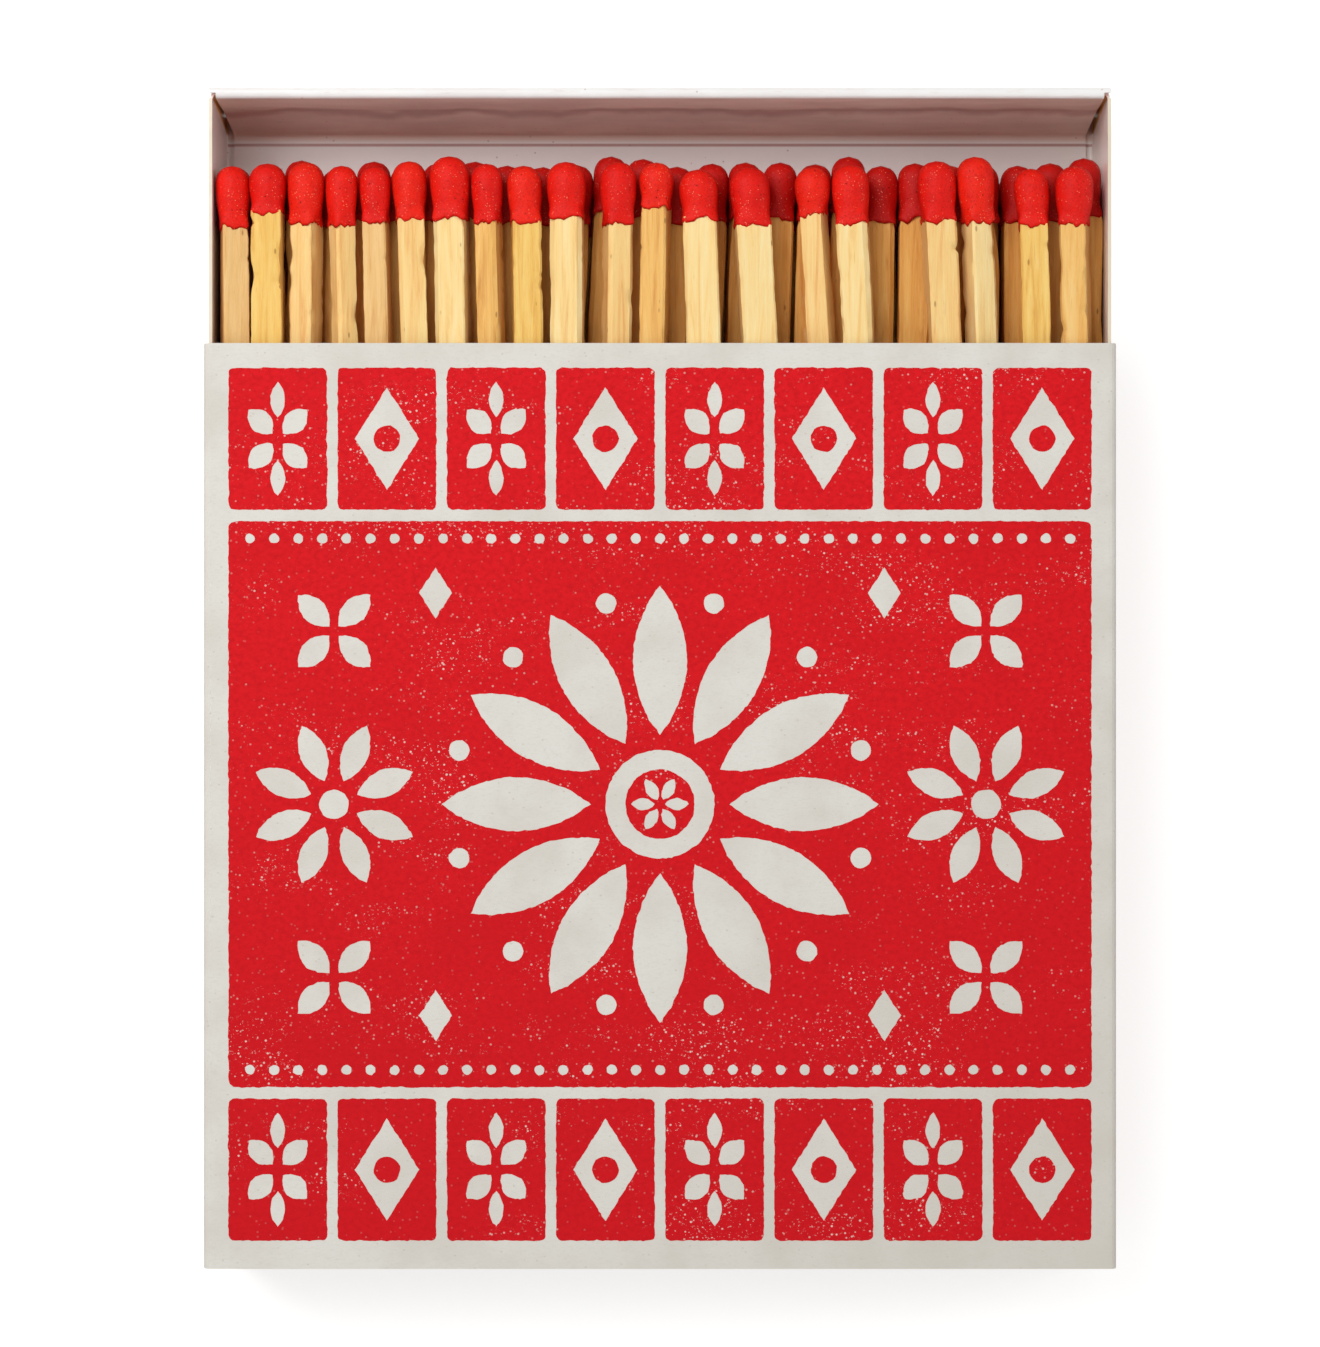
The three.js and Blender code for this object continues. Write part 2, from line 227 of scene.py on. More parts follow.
def card_tone(look):
    """Uncoated card: fibres, faint cloudy shade and a few flecks."""
    cloud = look.step(look.grain((9, 9, 9), 3), 0.35, 0.7)
    fibre = look.step(look.grain((0.5, 0.22, 0.4), 5, 0.65), 0.45, 0.75)
    fleck = look.step(look.cells((1.5, 1.1, 1.3)), 0.12, 0.07)
    tone = look.mix(cloud, CARD_WHITE, CARD_SHADE)
    tone = look.tint(tone, CARD_FIBRE, 0.35, fibre)
    return look.tint(tone, CARD_FLECK, 0.35, fleck)


def card_relief(look, tooth):
    waves, swell = CARD_WAVES
    look.relief((look.grain(waves, 2), swell), (look.grain(CARD_TOOTH[0], 4, 0.6), tooth))


def sleeve_card():
    """White card outside, with painted shade darkening it towards one corner; grey-brown board
    inside and a cream cut edge.
    """
    look = Look("sleeve_card", roughness=0.75, specular=0.35)
    # Painted shade: the card darkens towards the lower right corner, away from the lamp at the
    # upper left
    diagonal = look.less(look.axis("X"), look.axis("Y"))
    painted_corner_shade = look.step(diagonal, 0.0, SLEEVE_HIGH.x - SLEEVE_LOW.y)
    outer = look.tint(card_tone(look), CARD_PAINTED_SHADE, 0.45, painted_corner_shade)

    side, end, base, top = look.inset(SLEEVE_LOW, SLEEVE_HIGH)
    between = look.times(look.step(base, 0.2, 0.3), look.step(top, 0.2, 0.3))
    inside = look.times(look.step(side, 0.25, 0.35), between)
    pulp = look.step(look.grain((0.8, 0.5, 0.6), 5), 0.4, 0.7)
    tone = look.mix(inside, outer, look.mix(pulp, *BOARD_BACK))
    look.color(look.mix(look.step(end, 0.02, 0.005), tone, CARD_CORE))
    card_relief(look, CARD_TOOTH[1])
    return look.material


INK = srgb(228, 17, 27)
INK_DEEP = srgb(206, 8, 20)
INK_PAINTED_SHADE = srgb(200, 6, 22)
INK_WORN = srgb(232, 208, 198)
INK_TOOTH = 0.03


def printing_ink():
    """Red letterpress ink on card: mottled, with specks where the card shows through and painted
    shade darker towards the bottom.
    """
    look = Look("printing_ink", roughness=0.7, specular=0.18)
    mottle = look.step(look.grain((0.7, 0.6, 0.7), 5, 0.6), 0.35, 0.72)
    cloud = look.step(look.grain((12, 9, 12), 3), 0.4, 0.7)
    # Painted shade: the ink darkens towards the sleeve's bottom edge, as the light falls off
    painted_lower_shade = look.step(look.axis("Y"), SLEEVE_HIGH.y, SLEEVE_LOW.y)
    red = look.mix(mottle, INK, INK_DEEP)
    red = look.tint(red, INK_DEEP, 0.35, cloud)
    red = look.tint(red, INK_PAINTED_SHADE, 0.5, painted_lower_shade)

    speck = look.step(look.cells((0.85, 0.8, 0.85)), 0.2, 0.11)
    fine = look.step(look.grain((0.32, 0.26, 0.3), 3, 0.6), 0.62, 0.7)
    patches = look.step(look.grain((16, 7, 16), 3, 0.6, (3.1, 7.7, 0)), 0.46, 0.66)
    thin = look.math("ADD", look.times(patches, 0.85), 0.1)
    worn = look.times(look.math("MAXIMUM", speck, look.times(fine, patches)), thin)
    look.color(look.mix(worn, red, INK_WORN))
    card_relief(look, INK_TOOTH)
    return look.material


LINER = (srgb(252, 250, 248), srgb(246, 242, 240))
LINER_SCUFF = srgb(206, 172, 164)
LINER_FLECK = srgb(160, 104, 92)
# The tray's inside: painted pink reflection of the red heads on the end panels, the side walls and
# faintly on the floor, painted dark red lines and painted warm shade in the corner gaps
PANEL_PAINTED_PINK = srgb(246, 211, 192)
PANEL_PAINTED_SHADE = srgb(226, 187, 170)
PAINTED_DARK_RED_LINE = srgb(172, 88, 74)
FLOOR_PAINTED_TINT = srgb(255, 250, 246)
SIDE_PAINTED_PINK = srgb(255, 243, 236)
POCKET_PAINTED_WARM_SHADE = srgb(206, 118, 74)
GAP_PAINTED_WARM_BOUNCE = srgb(255, 206, 128)

# How far the end panels' feet are from the tray's ends, in millimetres, and how the panels slant
FOOT_INSET = 3.9
PANEL_LEAN = 0.135
# How far the painted dark red reflection band on the end panels wanders up and down, in millimetres
PAINTED_BAND_SWAY = 9


def tray_inside(look, end, top):
    """The tray's inside: painted pink reflection of the heads on the end panels, a painted dark red
    reflection band, a paler floor with painted shadow at the crease, and painted warm bounce light
    in the brown corners.
    """
    wall = look.mix(look.step(look.grain((16, 9, 5), 3), 0.3, 0.7), PANEL_PAINTED_PINK, PANEL_PAINTED_SHADE)
    # Painted reflection: a wavering dark red band across the end panels, where the heads show in
    # the gloss
    sway = look.times(look.less(look.grain((13, 40, 40), 3), 0.5), PAINTED_BAND_SWAY)
    painted_reflection_band = look.band(look.less(top, sway), 7.2, 9.2, 9.6, 11.6)
    wall = look.tint(wall, PAINTED_DARK_RED_LINE, 0.7, painted_reflection_band)

    # Painted shadow: a darker band along the floor at each panel's foot and a dark line at the
    # crease
    foot = look.less(end, FOOT_INSET)
    painted_crease_shade = look.step(foot, 0.9, 0.0)
    painted_crease_line = look.band(foot, 0.7, 0.85, 1.05, 1.2)
    ground = look.tint(FLOOR_PAINTED_TINT, PANEL_PAINTED_SHADE, 0.85, painted_crease_shade)
    ground = look.tint(ground, PAINTED_DARK_RED_LINE, 0.7, painted_crease_line)

    # Painted warm bounce light: the side walls behind the slanted panels turn tan
    behind_panel = look.step(look.less(end, look.times(top, PANEL_LEAN)), 1.1, 0.9)
    side = look.mix(behind_panel, SIDE_PAINTED_PINK, GAP_PAINTED_WARM_BOUNCE)
    faces_end = look.step(look.size(look.normal("Y")), 0.5, 0.8)
    upright = look.step(look.normal("Z"), 0.8, 0.5)
    return look.mix(upright, ground, look.mix(faces_end, side, wall))


def tray_board():
    """White-lined board with a painted pink reflection of the heads on its inside, painted warm
    shade in the end pockets and a cream cut edge.
    """
    look = Look("tray_board", roughness=0.34, specular=0.5, coat=0.35, coat_roughness=0.16)
    cloud = look.step(look.grain((7, 5, 6), 3), 0.35, 0.7)
    scuff = look.step(look.grain((3.5, 0.6, 2), 5, 0.65), 0.56, 0.75)
    fleck = look.step(look.cells((1.7, 1.6, 1.6)), 0.1, 0.05)
    liner = look.tint(look.mix(cloud, *LINER), LINER_SCUFF, 0.25, scuff)

    side, end, base, top = look.inset(TRAY_LOW, TRAY_HIGH)
    between = look.times(look.step(top, 0.4, 1.0), look.step(base, 0.25, 0.35))
    within = look.times(look.step(end, 0.6, 1.0), look.step(side, 0.15, 0.3))
    tone = look.mix(look.times(within, between), liner, tray_inside(look, end, top))
    # Painted warm shade: the gap inside each rolled end wall is brown
    pocket = look.times(look.band(end, 0.3, 0.35, 0.95, 1.05), look.step(side, 0.24, 0.36))
    tone = look.mix(look.times(pocket, between), tone, POCKET_PAINTED_WARM_SHADE)
    tone = look.tint(tone, LINER_FLECK, 0.4, fleck)

    cut = look.times(look.step(look.normal("Z"), 0.9, 0.98), look.band(top, 0.26, 0.29, 0.31, 0.36))
    look.color(look.mix(cut, tone, CARD_CORE))
    look.relief((look.grain((14, 4, 5), 2), 0.35), (look.grain((0.4, 0.35, 0.4), 4), 0.01))
    return look.material


# Pale, middle and deep tones of each kind of wood; the last two are darker, more orange copies,
# painted shade for the lower layers
WOOD_TONES = (
    (srgb(255, 222, 150), srgb(252, 206, 130), srgb(230, 158, 84)),
    (srgb(255, 230, 168), srgb(255, 219, 146), srgb(238, 182, 104)),
    (srgb(252, 212, 122), srgb(246, 196, 100), srgb(214, 148, 62)),
    (srgb(246, 203, 136), srgb(237, 188, 118), srgb(206, 144, 84)),
    (srgb(252, 208, 130), srgb(245, 190, 104), srgb(210, 140, 62)),
    (srgb(246, 192, 106), srgb(236, 170, 82), srgb(198, 122, 50)),
    (srgb(218, 146, 66), srgb(202, 122, 50), srgb(160, 84, 28)),
)
WOOD_SHEEN = srgb(255, 238, 198)
WOOD_STREAK = srgb(186, 112, 48)
WOOD_KNOT = srgb(128, 66, 24)
WOOD_PAINTED_FLANK_SHADE = srgb(182, 108, 46)


def splint_wood(variant):
    """Split pale wood: long grain, broken fibres, streaks, dark flecks and painted shade on the
    flanks.
    """
    pale, middle, deep = WOOD_TONES[variant]
    look = Look("splint_wood_" + str(variant), roughness=0.62, specular=0.35)
    shift = (variant * 3.7, variant * 1.9, variant * 5.3)
    long_grain = look.grain((0.9, 16, 0.9), 5, 0.62, shift, waver=0.8)
    fibre = look.grain((0.22, 3.2, 0.22), 5, 0.7, shift, waver=0.5)
    streak = look.step(look.grain((0.3, 9, 0.3), 4, 0.6, (5 + variant, 2, 9)), 0.66, 0.76)
    knot = look.step(look.cells((1.9, 5.5, 1.9)), 0.09, 0.04)
    # Painted shade: faces turned away from the top are browner, as if less lit
    painted_flank_shade = look.step(look.normal("Z"), 0.75, 0.25)
    tone = look.ramp(long_grain, (0.34, pale), (0.54, middle), (0.78, deep))
    tone = look.tint(tone, deep, 0.4, look.step(fibre, 0.52, 0.8))
    tone = look.tint(tone, WOOD_SHEEN, 0.35, look.step(fibre, 0.42, 0.25))
    tone = look.tint(tone, WOOD_STREAK, 0.4, streak)
    tone = look.tint(tone, WOOD_KNOT, 0.55, knot)
    look.color(look.tint(tone, WOOD_PAINTED_FLANK_SHADE, 0.45, painted_flank_shade))
    look.relief((long_grain, 0.1), (fibre, 0.05))
    return look.material


# Bright and dark red of each batch of heads; the last one is a darker copy, painted shade for the
# lower layers
HEAD_TONES = (
    (srgb(242, 26, 9), srgb(204, 8, 6)),
    (srgb(237, 22, 9), srgb(194, 6, 6)),
    (srgb(246, 34, 13), srgb(210, 12, 8)),
    (srgb(206, 18, 10), srgb(160, 5, 5)),
)
HEAD_SAND = srgb(166, 6, 8)
HEAD_PINHOLE = srgb(96, 2, 4)
HEAD_PAINTED_GLINT = srgb(255, 140, 108)
HEAD_PAINTED_FLANK_SHADE = srgb(160, 6, 8)


def match_composition(variant):
    """Dull red head compound: finely sandy, with pinholes, painted pale glints and painted shade on
    its flanks.
    """
    red, dark = HEAD_TONES[variant]
    look = Look("match_composition_" + str(variant), specular=0.2)
    lumps = look.grain((1.6, 1.9, 1.6), 3, 0.5, (variant, 0, 0))
    sand = look.grain((0.24, 0.26, 0.24), 4, 0.7)
    pinhole = look.step(look.cells((0.95, 1.0, 0.95)), 0.11, 0.06)
    # Painted glints: pale pink specks in patches, standing for highlights that sparkle on the sandy
    # compound
    grit_and_painted_glint = look.step(look.cells((0.32, 0.34, 0.32)), 0.24, 0.11)
    painted_glint_patch = look.step(look.grain((1.1, 1.4, 1.1), 3, 0.6, (9, variant, 4)), 0.45, 0.58)
    # Painted shade: the head darkens where it turns away from the top
    painted_flank_shade = look.step(look.normal("Z"), 0.6, 0.0)
    tone = look.tint(red, dark, 0.3, look.step(lumps, 0.4, 0.75))
    tone = look.tint(tone, HEAD_SAND, 0.5, look.step(sand, 0.5, 0.68))
    tone = look.tint(tone, HEAD_PINHOLE, 0.75, pinhole)
    tone = look.tint(tone, HEAD_PAINTED_GLINT, 0.9, grit_and_painted_glint, painted_glint_patch)
    look.color(look.tint(tone, HEAD_PAINTED_FLANK_SHADE, 0.5, painted_flank_shade))
    look.rough(look.math("ADD", 0.34, look.times(sand, 0.28)))
    look.relief((lumps, 0.1), (look.less(1.0, pinhole), 0.05), (sand, 0.07))
    return look.material


STRIKER_TONES = (srgb(92, 46, 36), srgb(58, 28, 24))
STRIKER_GROUND = srgb(126, 84, 68)


def striking_coat():
    """Red-brown abrasive coat, printed as fine dots."""
    look = Look("striking_coat", roughness=0.9, specular=0.2)
    dots = look.step(look.cells((0.9, 0.9, 0.9), 0.15), 0.42, 0.3)
    grit_and_painted_glint = look.grain((0.15, 0.15, 0.15), 4, 0.7)
    coat = look.mix(look.step(grit_and_painted_glint, 0.35, 0.7), *STRIKER_TONES)
    look.color(look.mix(look.times(dots, 0.5), STRIKER_GROUND, coat))
    look.relief((dots, 0.05), (grit_and_painted_glint, 0.06))
    return look.material


def mesh_object(name, points, faces, material, sharp_angle=None):
    """A smooth-shaded mesh, its edges sharp where its faces turn more than an angle in degrees."""
    mesh = bpy.data.meshes.new(name)
    mesh.from_pydata(points, [], faces)
    mesh.validate()
    mesh.shade_smooth()
    if sharp_angle is not None:
        mesh.set_sharp_from_angle(angle=math.radians(sharp_angle))
    mesh.materials.append(material)
    piece = bpy.data.objects.new(name, mesh)
    bpy.context.scene.collection.objects.link(piece)
    return piece


class Skin:
    """Points and faces of one or more closed skins, each drawn through rings."""

    def __init__(self):
        self.points = []
        self.faces = []

    def add(self, rings):
        first = len(self.points)
        count = len(rings[0])
        for ring in rings:
            self.points.extend(ring)
        for k in range(len(rings) - 1):
            for i in range(count):
                a = first + k * count + i
                b = first + k * count + (i + 1) % count
                self.faces.append((a, a + count, b + count, b))
        self.faces.append(tuple(first + i for i in range(count)))
        last = first + (len(rings) - 1) * count
        self.faces.append(tuple(last + count - 1 - i for i in range(count)))


class Match:
    """Where one match lies: its butt, its direction and a random source of its own."""

    def __init__(self, butt, tip, seed):
        self.butt = butt
        self.length = (tip - butt).length
        self.along = (tip - butt).normalized()
        self.side = self.along.cross(Vector((0, 0, 1))).normalized()
        self.up = self.side.cross(self.along)
        self.chance = random.Random(seed)
        self.seed = seed

    def point(self, distance, across, height):
        return self.butt + self.along * distance + self.side * across + self.up * height


def wobble(x, y, z, seed):
    """Smooth noise from -1 to 1 at a place, different for each seed."""
    return noise.noise(Vector((x + seed * 7.31, y - seed * 3.17, z + seed * 1.73)))


def ease(share):
    """A smooth rise from 0 to 1."""
    return share * share * (3 - 2 * share)


# The four quarters round a centre, as signs of x and y
QUARTERS = ((1, 1), (-1, 1), (-1, -1), (1, -1))

# A splint: what may be split off each corner and how uneven it is, in shares of its half side
CORNER_LOSSES = (0.06, 0.1, 0.16, 0.3)
FACE_WAVES = 0.045
FACE_ROUGHNESS = 0.022
EDGE_WEAR = 0.12
CHIPS = 30
CHIP_REACH = (0.5, 2.6)
CHIP_DEPTH = (0.1, 0.34)
# It narrows inside its head: how far up that begins, over what length and by what share
COVER_START = 0.35 * MM
COVER_LENGTH = 0.7 * MM
COVER_LOSS = 0.3
# It ends this much below the head's tip
TIP_CLEARANCE = 1.9 * MM
# Splint faces that turn more than this many degrees meet in a sharp edge
SPLINT_EDGE = 28


class Splint:
    """The section of one match: its half side, its roll and the corners split from it."""

    def __init__(self, match, width, roll):
        turn = math.radians(roll)
        self.half = width / 2 / (math.cos(turn) + math.sin(abs(turn)))
        self.turn = turn
        self.losses = [match.chance.choice(CORNER_LOSSES) for _ in range(4)]

    def outline(self, cuts):
        """Points round the section, with each side cut into equal parts."""
        corners = []
        for (sx, sy), loss in zip(QUARTERS, self.losses):
            flat = (sx, sy * (1 - loss))
            steep = (sx * (1 - loss), sy)
            corners.extend([flat, steep] if sx * sy > 0 else [steep, flat])
        points = []
        for k, ((ax, ay), (bx, by)) in enumerate(zip(corners, corners[1:] + corners[:1])):
            parts = cuts if k % 2 else 1
            for j in range(parts):
                share = j / parts
                points.append((ax + (bx - ax) * share, ay + (by - ay) * share))
        return points

    def turned(self, x, y):
        c, s = math.cos(self.turn), math.sin(self.turn)
        return x * c - y * s, x * s + y * c

    def radius(self, angle):
        """How far the section reaches from its middle at an angle."""
        c, s = abs(math.cos(angle - self.turn)), abs(math.sin(angle - self.turn))
        return self.half * min(1 / max(c, s), 1.85 / (c + s))


def draw_chips(match, length):
    """Chips off a splint: the corner, the place along it, the reach and the depth of each."""
    chance = match.chance
    return [(chance.randrange(4), chance.uniform(0, length), chance.uniform(*CHIP_REACH) * MM,
             chance.uniform(*CHIP_DEPTH)) for _ in range(CHIPS)]


def unevenness(match, chips, x, y, distance):
    """How far a point of the section stands out at a distance, as a share of the half side."""
    place = distance / MM
    rough = FACE_WAVES * wobble(x, place * 0.12, y, match.seed)
    rough += FACE_ROUGHNESS * wobble(x * 3, place * 0.7, y * 3, match.seed + 40)
    edge = max(0.0, abs(x) + abs(y) - 1.3)
    wear = wobble(x * 2, place * 0.9, y * 2, match.seed + 60)
    rough += EDGE_WEAR * edge * min(0.0, wear + 0.1)
    for corner, at, reach, depth in chips:
        sx, sy = QUARTERS[corner]
        if x * sx > 0 and y * sy > 0 and abs(distance - at) < reach:
            rough -= depth * edge * (1 - abs(distance - at) / reach)
    return rough


def draw_stick(skin, match, splint, head_start, cuts=5, step=0.5 * MM):
    """A splint with uneven faces and chipped edges, narrowed where the head covers it."""
    length = match.length - TIP_CLEARANCE
    steps = max(4, round(length / step))
    chips = draw_chips(match, length)
    outline = splint.outline(cuts)
    rings = []
    for k in range(steps + 1):
        distance = k / steps * length
        covered = min(1.0, max(0.0, (distance - head_start - COVER_START) / COVER_LENGTH))
        ring = []
        for x, y in outline:
            rough = unevenness(match, chips, x, y, distance)
            size = splint.half * (1 + rough) * (1 - COVER_LOSS * covered)
            across, height = splint.turned(x * size, y * size)
            ring.append(match.point(distance, across, height))
        rings.append(ring)
    skin.add(rings)


# A head: the film on the splint at its lower edge; then, in shares of its length, how far it
# follows the splint and where it is widest; its neck's width and its unevenness in shares of
# its own width; how long its round end is in widths, and how blunt
COAT = 0.16 * MM
NECK_REACH = 0.34
BULB_AT = 0.6
NECK_WIDTH = 0.84
HEAD_LUMPS = 0.02
HEAD_ROUGHNESS = 0.008
DOME_SHARE = 0.54
DOME_POWER = 2.25
# How far its tip may lean to a side, in millimetres
HEAD_LEAN = 0.22
# Its skin begins inside the splint, this far up and at this share of the splint's half side
INNER_START = 1.2 * MM
INNER_SHARE = 0.6
# How far its lower edge runs up and down, and the share of its length over which that fades
DRIP = 0.5 * MM
DRIP_REACH = 0.35


def head_profile(share, dome):
    """The head's half width at a share of its length, against its widest."""
    if share > 1 - dome:
        return math.sqrt(max(0.0, 1 - ((share - 1 + dome) / dome) ** DOME_POWER))
    return NECK_WIDTH + (1 - NECK_WIDTH) * ease(min(1.0, share / BULB_AT))


def draw_head(skin, match, splint, width, length, sides=36, rings_count=30):
    """A dipped head: it follows the splint at its lower edge and swells to a round bulb."""
    tall = width * match.chance.uniform(0.96, 1.02)
    lean = match.chance.uniform(-HEAD_LEAN, HEAD_LEAN) * MM
    dome = DOME_SHARE * width / length
    start = match.length - length
    angles = [2 * math.pi * i / sides for i in range(sides)]
    inner = INNER_SHARE * splint.half
    rings = [[match.point(start + INNER_START, inner * math.cos(angle), inner * math.sin(angle))
              for angle in angles]]
    for k in range(rings_count + 1):
        share = (k / rings_count) ** 0.9
        half = head_profile(share, dome)
        blend = ease(min(1.0, share / NECK_REACH))
        film = COAT * min(1.0, 0.25 + share / 0.06)
        ring = []
        for angle in angles:
            c, s = math.cos(angle), math.sin(angle)
            bulb = half / 2 * math.hypot(c * width, s * tall)
            neck = splint.radius(angle) + film
            lump = HEAD_LUMPS * wobble(c * 1.2, share * 2.2, s * 1.2, match.seed + 11)
            lump += HEAD_ROUGHNESS * wobble(c * 5, share * 10, s * 5, match.seed + 23)
            drip = wobble(c * 1.4, 0, s * 1.4, match.seed + 31)
            drip += wobble(c * 4.2, 0, s * 4.2, match.seed + 37)
            fall = DRIP * drip * max(0.0, 1 - share / DRIP_REACH)
            reach = max((neck + (bulb - neck) * blend) * (1 + lump), 0.03 * MM)
            place = start + share * length + fall
            ring.append(match.point(place, c * reach + lean * share, s * reach))
        rings.append(ring)
    skin.add(rings)


# The matches' ends scatter within this length
END_ZONE = 1.6 * MM


def centre_of(points):
    """The middle of some points."""
    return sum(points, Vector()) / len(points)


def top_match(number):
    """Where CAD lays a match of the top layer, from its splint and head."""
    stick = [v.co.copy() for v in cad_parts["match_%02d_stick" % number].data.vertices]
    head = [v.co.copy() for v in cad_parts["match_%02d_head" % number].data.vertices]
    low = min(p.y for p in stick)
    high = max(p.y for p in stick)
    butt = centre_of([p for p in stick if p.y < low + 1 * MM])
    neck = centre_of([p for p in stick if p.y > high - 1 * MM])
    reach = (max(p.y for p in head) - butt.y) / (neck.y - butt.y)
    return Match(butt, butt + (neck - butt) * reach, number)


def ends(mesh, low, high):
    """The middles of the end faces that lie between two values of y, from left to right."""
    groups = []
    for face in mesh.polygons:
        corners = {tuple(round(c, 6) for c in mesh.vertices[i].co) for i in face.vertices}
        if all(low <= corner[1] <= high for corner in corners):
            touching = [group for group in groups if group & corners]
            groups = [group for group in groups if not group & corners]
            groups.append(corners.union(*touching))
    middles = [centre_of([Vector(corner) for corner in group]) for group in groups]
    return sorted(middles, key=lambda middle: middle.x)


def hidden_matches(node, layer):
    """Where CAD lays the matches of a hidden layer, from the ends in its joined solid."""
    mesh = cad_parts[node].data
    low = min(v.co.y for v in mesh.vertices)
    high = max(v.co.y for v in mesh.vertices)
    butts = ends(mesh, low, low + END_ZONE)
    tips = ends(mesh, high - END_ZONE, high)
    return [Match(butt, tip, 100 * layer + i) for i, (butt, tip) in enumerate(zip(butts, tips))]


def dress(name, skin, material, node, sharp_angle=None):
    """Makes a skin a piece on the tray that stands for a CAD node, with a finish of the record."""
    piece = mesh_object(name, skin.points, skin.faces, material, sharp_angle)
    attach(piece, "tray")
    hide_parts(node)


# The top layer from the left: widths and lengths of the heads in millimetres
TOP_HEADS = (
    (4.1, 7.7), (4.6, 6.3), (4.5, 7.6), (3.85, 7.6), (3.8, 7.0), (4.2, 7.3), (4.85, 7.8),
    (3.85, 7.3), (4.25, 7.2), (4.8, 7.0), (4.4, 7.6), (4.2, 5.6), (4.75, 6.3), (4.9, 7.4),
    (4.3, 5.9), (4.6, 7.5), (4.75, 7.6), (4.55, 8.2), (4.3, 7.3), (4.65, 7.3),
)
# How far its splints are rolled about their length, in degrees, and their kinds of wood
TOP_ROLLS = (-14, 4, 24, -30, 8, -6, 10, 20, -4, 5, -18, 12, 3, -5, 22, 7, -9, -24, 6, 16)
TOP_WOODS = (3, 2, 0, 0, 3, 0, 1, 4, 2, 1, 0, 4, 1, 1, 0, 1, 0, 1, 2, 4)
TOP_BATCHES = 3
# How much narrower a splint is than its head, in millimetres
TOP_SHOULDER = (0.3, 0.7)
HIDDEN_SHOULDER = (0.1, 0.4)

# The hidden layers: which wood tones they take, the darker copies with painted shade, their heads
# in millimetres and the most roll
HIDDEN_WOODS = {1: 6, 2: 5, 3: 5}
HIDDEN_HEAD = (4.2, 7.3)
HIDDEN_ROLL = 6
# How far heads stand beyond the tips of the solids: one length, and ranges in millimetres
TOP_REACH = 0.6 * MM
HIDDEN_REACH = {1: (0.0, 0.3), 2: (0.0, 0.3), 3: (0.7, 1.8)}


def build_matches():
    """The top layer match by match, then each hidden layer as its splints and its heads."""
    woods = [splint_wood(variant) for variant in range(len(WOOD_TONES))]
    reds = [match_composition(variant) for variant in range(len(HEAD_TONES))]
    for k, (width, length) in enumerate(TOP_HEADS):
        label = "match_%02d" % (k + 1)
        match = top_match(k + 1)
        match.length += TOP_REACH
        side = width - match.chance.uniform(*TOP_SHOULDER)
        splint = Splint(match, side * MM, TOP_ROLLS[k])
        stick, head = Skin(), Skin()
        draw_stick(stick, match, splint, match.length - length * MM)
        draw_head(head, match, splint, width * MM, length * MM)
        wood, red = woods[TOP_WOODS[k]], reds[k % TOP_BATCHES]
        dress(label + "_splint", stick, wood, label + "_stick", SPLINT_EDGE)
        dress(label + "_dipped_head", head, red, label + "_head")
    width, length = (value * MM for value in HIDDEN_HEAD)
    for layer, variant in HIDDEN_WOODS.items():
        node = "matches_layer_" + str(layer)
        sticks, heads = Skin(), Skin()
        for match in hidden_matches(node, layer):
            match.length += match.chance.uniform(*HIDDEN_REACH[layer]) * MM
            side = width - match.chance.uniform(*HIDDEN_SHOULDER) * MM
            splint = Splint(match, side, match.chance.uniform(-HIDDEN_ROLL, HIDDEN_ROLL))
            draw_stick(sticks, match, splint, match.length - length, cuts=2, step=3 * MM)
            draw_head(heads, match, splint, width, length, sides=28, rings_count=20)
        # The lower layers take the darker copies of wood and red: painted shade
        wood, red = woods[variant], reds[-1]
        dress("hidden_splints_%d" % layer, sticks, wood, node, SPLINT_EDGE)
        dress("hidden_heads_%d" % layer, heads, red, node)


# The print: its fields as the photograph spaces them, from the sleeve's top edge down
PRINT_HALF_WIDTH = 52.3 * MM
BAND_TOPS = (3.0 * MM, 91.6 * MM)
BAND_HEIGHT = 17.2 * MM
PANEL_TOP = 21.6 * MM
PANEL_HEIGHT = 68.6 * MM
BLOCKS = 8
BLOCK_GAP = 1.3 * MM
BORDER_DOTS = 35
BORDER_INSET = (2.6 * MM, 2.1 * MM)
# Flowers: petals, then in millimetres where they begin and end and half their width, and the
# turn in degrees
BLOCK_FLOWER = (4, 0.9, 5.0, 1.35, 45)
BLOCK_LEAVES = (2, 2.6, 6.9, 0.9, 90)
LARGE_FLOWER = (12, 8.4, 26.5, 3.3, 0)
SMALL_FLOWER = (6, 0.6, 3.5, 0.75, 0)
SIDE_FLOWER = (8, 3.0, 10.3, 1.65, 22.5)
CORNER_FLOWER = (4, 0.8, 6.2, 1.5, 45)
RING_DOTS = 12
RING_RADIUS = 25.2 * MM
SIDE_FLOWER_X = 39.5 * MM
CORNER_FLOWER_Y = 21.0 * MM
SPARK_PLACE = (27.2 * MM, 25.6 * MM)

# The ink: its height on the card, half its thickness and how its edges run
INK_RISE = 0.012 * MM
INK_THICKNESS = 0.004 * MM
EDGE_STEP = 0.35 * MM
EDGE_ROUGHNESS = 0.11 * MM
EDGE_WAVE = 0.8 * MM
EDGE_TOOTH = 0.3 * MM


